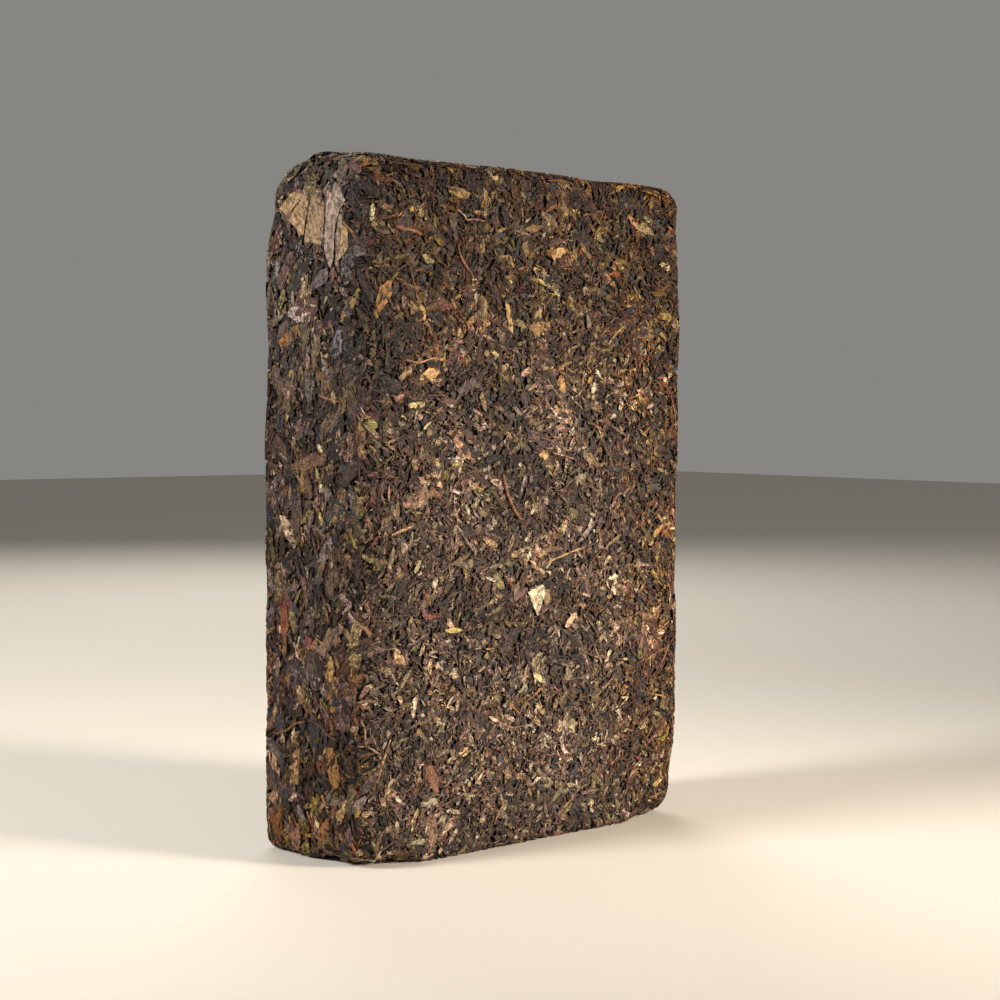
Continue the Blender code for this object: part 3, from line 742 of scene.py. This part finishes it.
def dry_leaf(name, base, stain, streak, fold, crumple_shade, gloss, rim_light):
    """Fermented tea leaf, rolled, pressed and dried: a dull waxy shine on its folds, darker stains where
    it oxidised, fine streaks along its veins, and skin crumpled into small facets, each made lighter or
    darker as painted shading, with painted shade in the creases between them. Its rim is made lighter,
    for rubbed edges and as a painted highlight, or, below zero, darker for torn edges and as painted
    shade of the gaps around it. Base is its ramp of colours, or none where each leaf keeps its own.
    Streak and fold are their length and width in millimetres."""
    material, shader = new_material(name)
    add = partial(add_node, material)
    rim = add("Attribute", "Fac", {}, attribute_name="rim")
    grain = add("Attribute", "Vector", {}, attribute_name="grain")
    if base:
        tone = add("Attribute", "Fac", {}, attribute_name="tone")
        own = add("ValToRGB", "Color", {"Fac": tone}, base)
    else:
        own = add("Attribute", "Color", {}, attribute_name="leaf_colour")

    # Stains a millimetre or two across.
    place = add("TexCoord", "Object", {})
    inputs = {"Vector": place, "Scale": 1.0 / (1.7 * MM), "Detail": 4.0, "Roughness": 0.65}
    mottle = add("TexNoise", "Fac", inputs)
    inputs = {"Value": mottle, "From Min": 0.42, "From Max": 0.62, "To Max": 0.75}
    stained = add("MapRange", "Result", inputs)
    inputs = {"Factor": stained, "A": own, "B": linear(stain)}
    body = add("Mix", "Result", inputs, data_type="RGBA")

    # Streaks along the veins.
    along = add("Mapping", "Vector", {"Vector": grain, "Scale": (1.0 / streak[0], 1.0 / streak[1], 1.0)})
    veins = add("TexNoise", "Fac", {"Vector": along, "Scale": 1.0, "Detail": 3.0, "Roughness": 0.6})
    inputs = {"Value": veins, "From Min": 0.32, "From Max": 0.68, "To Min": 0.5, "To Max": 1.5}
    light = add("MapRange", "Result", inputs)

    # Facets of the crumpled skin and the creases between them: painted shading that makes each facet
    # lighter or darker, and painted shade in the creases.
    folded = add("Mapping", "Vector", {"Vector": grain, "Scale": (1.0 / fold[0], 1.0 / fold[1], 1.0)})
    inputs = {"Vector": folded, "Scale": 1.0}
    facet = add("SeparateColor", None, {"Color": add("TexVoronoi", "Color", inputs)})
    crease = add("TexVoronoi", "Distance", inputs, feature="DISTANCE_TO_EDGE")
    inputs = {"Value": crease, "From Max": 0.16, "To Min": 1.0 - 0.65 * crumple_shade}
    crease_shade = add("MapRange", "Result", inputs)
    # Painted shading: each facet lighter or darker as if turned to the light.
    inputs = {"Value": facet["Red"], "To Min": 1.0 - 0.32 * crumple_shade, "To Max": 1.0 + 0.36 * crumple_shade}
    turned = add("MapRange", "Result", inputs)

    # The rim, darker below zero for torn edges and as painted shade of the gaps, lighter above zero as a
    # painted highlight; and all that lightens or darkens the leaf together.
    edge = add("Math", "Value", {0: rim, 1: 4.0}, operation="POWER")
    inputs = {0: edge, 1: rim_light, 2: 1.0 - 0.3 * rim_light}
    torn_rim_and_shade = add("Math", "Value", inputs, operation="MULTIPLY_ADD")
    shift = add("Attribute", "Vector", {}, attribute_name="cast")
    shift = add("SeparateXYZ", None, {"Vector": shift})
    for factor in (torn_rim_and_shade, crease_shade, turned, shift["Z"]):
        light = add("Math", "Value", {0: light, 1: factor}, operation="MULTIPLY")

    # No two leaves, and no two facets of one, oxidise to quite the same hue and depth.
    hue = add("Math", "Value", {0: facet["Green"], 1: 0.5}, operation="SUBTRACT")
    hue = add("Math", "Value", {0: hue, 1: 0.028, 2: shift["X"]}, operation="MULTIPLY_ADD")
    inputs = {"Color": body, "Value": light, "Hue": hue, "Saturation": shift["Y"]}
    colour = add("HueSaturation", "Color", inputs)

    # Waxier and duller spots, and the relief of stains, veins and creases, about 0.2 mm deep.
    inputs = {"Value": mottle, "From Min": 0.3, "From Max": 0.7, "To Min": gloss[0], "To Max": gloss[1]}
    rough = add("MapRange", "Result", inputs)
    relief = add("Math", "Value", {0: mottle, 1: 2.0, 2: veins}, operation="MULTIPLY_ADD")
    domed = add("Math", "Value", {0: crease, 1: 0.3}, operation="MINIMUM")
    relief = add("Math", "Value", {0: domed, 1: 2.5, 2: relief}, operation="MULTIPLY_ADD")
    bump = add("Bump", "Normal", {"Height": relief, "Strength": 0.8, "Distance": 0.2 * MM})
    inputs = {"Base Color": colour, "Roughness": rough, "Specular IOR Level": 0.3, "Normal": bump}
    set_inputs(material, shader, inputs)
    return material


def pressed_mass():
    """The mass of the brick: fermented leaf pressed into one until only its edges show, dull and nearly
    black in its cracks: its own dark colour, made darker as painted shade of the gaps where it shows."""
    material, shader = new_material("pressed_leaf_mass")
    add = partial(add_node, material)
    place = add("TexCoord", "Object", {})
    plate = add("TexVoronoi", "Color", {"Vector": place, "Scale": 1.0 / (PLATE_SIZE * MM)})
    pick = add("SeparateColor", "Red", {"Color": plate})
    # Near-black plates: the mass's own colour, darkened as painted shade for the gaps between loose leaves.
    stops = ((0, "#0c0806"), (1, "#4a3826"), (0.35, "#1b130e"), (0.6, "#2b1e16"), (0.8, "#36261c"))
    base = add("ValToRGB", "Color", {"Fac": pick}, stops)
    mottle = add("TexNoise", "Fac", {"Vector": place, "Scale": 1.0 / (1.1 * MM), "Detail": 4.0})
    inputs = {"Value": mottle, "From Min": 0.3, "From Max": 0.7, "To Min": 0.5, "To Max": 1.3}
    shade = add("MapRange", "Result", inputs)
    colour = add("HueSaturation", "Color", {"Color": base, "Value": shade})
    bump = add("Bump", "Normal", {"Height": mottle, "Strength": 0.5, "Distance": 0.2 * MM})
    set_inputs(material, shader, {"Base Color": colour, "Roughness": 0.7, "Normal": bump})
    return material


def even_cover(facing):
    """Fine leaf lies thickest on the broad faces, thinner on the ends and thinnest underneath."""
    share = np.where(np.abs(facing[:, 0]) > END_FACING, 0.62, 1.0)
    share[facing[:, 2] < -0.8] = 0.2
    return share


def end_cover(facing):
    """Large leaf shows mostly on the two narrow upright faces."""
    share = np.where(np.abs(facing[:, 0]) > END_FACING, 2.4, 1.0)
    share[facing[:, 2] < -0.8] = 0.0
    return share


def build_core(points, quads, layout, material):
    sharp = points + BLOCK_MIDDLE
    even, _ = settle(sharp)
    places, _ = settle(sharp, crumble(even) - CORE_SUNK)
    places[:, 2] = np.maximum(places[:, 2], FOOT)
    return add_piece("pressed_core", places, quads, material, layout)


def build_blades(skin, rng):
    """The leaves placed one by one, and the torn blades strewn between them."""
    # Whole blades are smooth, with long veins. Torn ones are crumpled, with stronger painted shading of
    # facets and creases, and show their ragged rims, darker for torn edges and as painted shade of the
    # gaps.
    blade = dry_leaf("leaf_blade", (), "#2c1d12", (3.6, 0.4), (2.8, 1.1), 0.4, (0.42, 0.7), -0.3)
    torn_blade = dry_leaf("torn_blade", (), "#1d120c", (2.4, 0.4), (1.5, 0.75), 1, (0.42, 0.7), -0.25)
    leaves, torn = Leaves(rng, 0.9, 0.3), Leaves(rng, 1.15, 0.28)
    for face, right, up, turn, outline, lift, code in NOTICED_LEAVES:
        place, away = skin.behind(face, right, up)
        leaves.add(place, away, turn, turned_back(outline, turn), lift, 0.3, code, OWN_CAST)
    for face, rows in LARGE_LEAVES.items():
        for right, up, length, width, turn, code in rows:
            place, away = skin.behind(face, right, up)
            outline = torn_outline(length, width, rng)
            leaves.add(place, away, turn, outline, rng.uniform(0.4, 0.6), 0.4, code, OWN_CAST, 0.1)
    spots, outward = skin.strew(TORN_COUNT, rng, end_cover)
    clear = ~leaves.covered(spots, len(NOTICED_LEAVES))
    for place, away, shift in zip(spots[clear], outward[clear], cast(spots[clear], rng)):
        end = abs(away[0]) > END_FACING
        length = rng.uniform(5.0, 12.0) if end else rng.uniform(3.2, 7.5)
        width = length * (rng.uniform(0.34, 0.6) if end else rng.uniform(0.3, 0.55))
        turn = rng.normal(90.0, 38.0) if end else rng.uniform(0.0, 360.0)
        code = rng.choice(END_LEAF_COLOURS if end else FACE_LEAF_COLOURS)
        outline = torn_outline(length, width, rng)
        torn.add(place, away, turn, outline, rng.uniform(0.1, 0.55), 0.5, code, shift)
    leaves.build("whole_leaves", blade)
    torn.build("torn_leaves", torn_blade)
    return leaves, torn


def build_brick():
    rng = np.random.default_rng(SEED)
    build_core(*block_grid(CORE_PITCH), pressed_mass())
    points, quads, _ = block_grid(SKIN_PITCH)
    skin = Skin(settle(points + BLOCK_MIDDLE)[0], quads)

    # Leaf fermented through: nearly black, with a cold grey among the browns that is a painted bluish
    # sheen.
    stops = (
        (0, "#140c07"), (1, "#5e4a38"), (0.2, "#22160f"), (0.4, "#37271d"), (0.55, "#2c2b30"),
        (0.7, "#432e21"), (0.85, "#4f3d2e"),
    )
    dark = dry_leaf("dark_leaf", stops, "#120904", (1.8, 0.32), (1.3, 0.6), 1, (0.45, 0.75), -0.15)
    # Leaf fermented less: warm browns, redder where it oxidised most.
    stops = (
        (0, "#3c2a1c"), (1, "#96785a"), (0.2, "#543d24"), (0.4, "#5c4636"), (0.55, "#694330"),
        (0.7, "#6e5842"), (0.85, "#84654a"),
    )
    brown = dry_leaf("brown_leaf", stops, "#26160c", (1.6, 0.3), (1.2, 0.55), 1, (0.5, 0.8), -0.3)
    # Coarse old leaf and pale undersides, from olive to straw.
    stops = (
        (0, "#4f4428"), (1, "#bbae8e"), (0.25, "#6e6038"), (0.45, "#807048"), (0.6, "#8d7c62"),
        (0.75, "#a08d66"), (0.9, "#b49d80"),
    )
    pale = dry_leaf("olive_and_tan_leaf", stops, "#36261a", (1.5, 0.28), (1.2, 0.55), 1, (0.5, 0.8), -0.35)
    # Leaf rolled tight before pressing: short dark rods with some light backs.
    stops = (
        (0, "#1a0f08"), (1, "#b0946c"), (0.3, "#35241a"), (0.55, "#5c4430"), (0.75, "#724a31"),
        (0.88, "#856c4a"),
    )
    rolled = dry_leaf("rolled_leaf", stops, "#190f09", (1.4, 0.25), (1.6, 0.5), 1, (0.45, 0.7), 0)
    # Tea stems: dried bark, reddish to straw, with fine lengthwise grain. The large ones are smoother.
    stops = ((0, "#2a1813"), (1, "#aa8c68"), (0.3, "#4e3224"), (0.6, "#674834"), (0.85, "#84674a"))
    stem = dry_leaf("tea_stem", stops, "#241410", (2.6, 0.22), (2.4, 0.5), 1, (0.45, 0.65), 0)
    twig = dry_leaf("twig_bark", (), "#2a1712", (2.6, 0.22), (2.6, 0.5), 0.7, (0.42, 0.6), 0)

    leaves, torn = build_blades(skin, rng)

    def covered(spots):
        """How much of the fine leaf is left out at each place."""
        share = np.where(leaves.covered(spots) | torn.covered(spots), LEFT_OUT, 0.0)
        return np.where(leaves.covered(spots, len(NOTICED_LEAVES)), 1.0, share)

    # Count, length, width, how far it stands out, and which patches it clumps in.
    for name, material, shape, *form in (
        ("dark_chips", dark, CHIP, 14000, 3.3, 1.35, 0.5, 1),
        ("brown_chips", brown, CHIP, 14000, 2.8, 1.12, 0.7, 21),
        ("pale_chips", pale, CHIP, 6500, 3.1, 1.35, 0.85, 43),
        ("brown_crumbs", brown, CRUMB, 14000, 1.6, 0.75, 0.8, 65),
        ("pale_crumbs", pale, CRUMB, 7000, 1.4, 0.65, 0.8, 87),
    ):
        flakes(name, material, shape, skin, rng, covered, *form)

    places, outward = skin.strew(ROLLED_COUNT, rng, even_cover)
    clear = ~leaves.covered(places, len(NOTICED_LEAVES))
    places, outward = places[clear], outward[clear]
    length = 2.6 * np.exp(rng.normal(0.25, 0.4, len(places)))
    radius = rng.uniform(0.2, 0.42, len(places))
    lies = (places, outward, lie(places, outward, rng, 48.0))
    rods("rolled_bits", rolled, lies, rng, length, radius, rings=3, sides=3, sink=0.1, blunt=0.5, curl=0.16)

    places, outward = skin.strew(STEM_COUNT, rng, even_cover)
    length = rng.uniform(4.5, 11.0, len(places))
    radius = rng.uniform(0.2, 0.42, len(places))
    lies = (places, outward, lie(places, outward, rng, 60.0))
    rods("stems", stem, lies, rng, length, radius, rings=5, sides=6, sink=0.0, blunt=0.15, curl=0.1)

    rows = [(face, *row) for face in LARGE_STEMS for row in LARGE_STEMS[face]]
    places, outward = (np.array(kept) for kept in zip(*(skin.behind(*row[:3]) for row in rows)))
    length, thick, turn = np.array([row[3:6] for row in rows]).T
    rods(
        "large_stems", twig, (places, outward, turn), rng, length, thick / 2.0,
        rings=9, sides=8, sink=-0.1, blunt=0.1, curl=0.08, colours=[row[6] for row in rows],
    )


def set_camera():
    """The viewing angle: a little above half height, well round to the left of the broad face."""
    yaw, pitch, roll = (math.radians(angle) for angle in (41.956, 2.6755, 0.406))
    forward = Vector((math.sin(yaw) * math.cos(pitch), math.cos(yaw) * math.cos(pitch), -math.sin(pitch)))
    level = Vector((math.cos(yaw), -math.sin(yaw), 0.0))
    upright = level.cross(forward)
    right = level * math.cos(roll) + upright * math.sin(roll)
    up = upright * math.cos(roll) - level * math.sin(roll)
    data = bpy.data.cameras.new("camera")
    data.lens = 70.548
    data.sensor_width = 36.0
    camera = bpy.data.objects.new("camera", data)
    turn = Matrix((right, up, -forward)).transposed().to_4x4()
    camera.matrix_world = Matrix.Translation(Vector((-448.80, -508.75, 146.89)) * MM) @ turn
    bpy.context.scene.collection.objects.link(camera)
    bpy.context.scene.camera = camera


def add_light(name, place, aim, size, spread, power, code):
    data = bpy.data.lights.new(name, "AREA")
    data.shape = "RECTANGLE"
    data.size = data.size_y = size
    data.spread = math.radians(spread)
    data.energy = power
    data.color = linear(code)[:3]
    light = bpy.data.objects.new(name, data)
    light.location = Vector(place)
    light.rotation_euler = (Vector(aim) - Vector(place)).to_track_quat("-Z", "Y").to_euler()
    bpy.context.scene.collection.objects.link(light)


def set_studio():
    """A pale floor and soft lights: a warm key low over the front, a fill high over the left end, and
    one from behind."""
    material, shader = new_material("studio_floor")
    shader.inputs["Base Color"].default_value = linear("#cdc8be")
    shader.inputs["Roughness"].default_value = 0.9
    mesh = bpy.data.meshes.new("studio_floor")
    corners = [(-3, -3, 0), (3, -3, 0), (3, 3, 0), (-3, 3, 0)]
    mesh.from_pydata(corners, [], [(0, 1, 2, 3)])
    mesh.materials.append(material)
    floor = bpy.data.objects.new("studio_floor", mesh)
    bpy.context.scene.collection.objects.link(floor)
    add_light("key", (0.52, -1, 0.35), (0, 0, 0.03), 0.3, 40, 1.74, "#ffefdc")
    add_light("fill", (-0.92, 0.2, 0.72), (-0.07, 0, 0.13), 0.3, 110, 5.45, "#f8f3ef")
    add_light("back", (0.5, 0.9, 0.8), (0, 0, 0.15), 0.6, 180, 8, "#fffaf2")
    world = bpy.data.worlds.new("studio")
    world.use_nodes = True
    world.node_tree.nodes["Background"].inputs["Color"].default_value = linear("#e9e6e0")
    world.node_tree.nodes["Background"].inputs["Strength"].default_value = 0.3
    bpy.context.scene.world = world
    bpy.context.scene.view_settings.view_transform = "Standard"


set_camera()
set_studio()
build_brick()
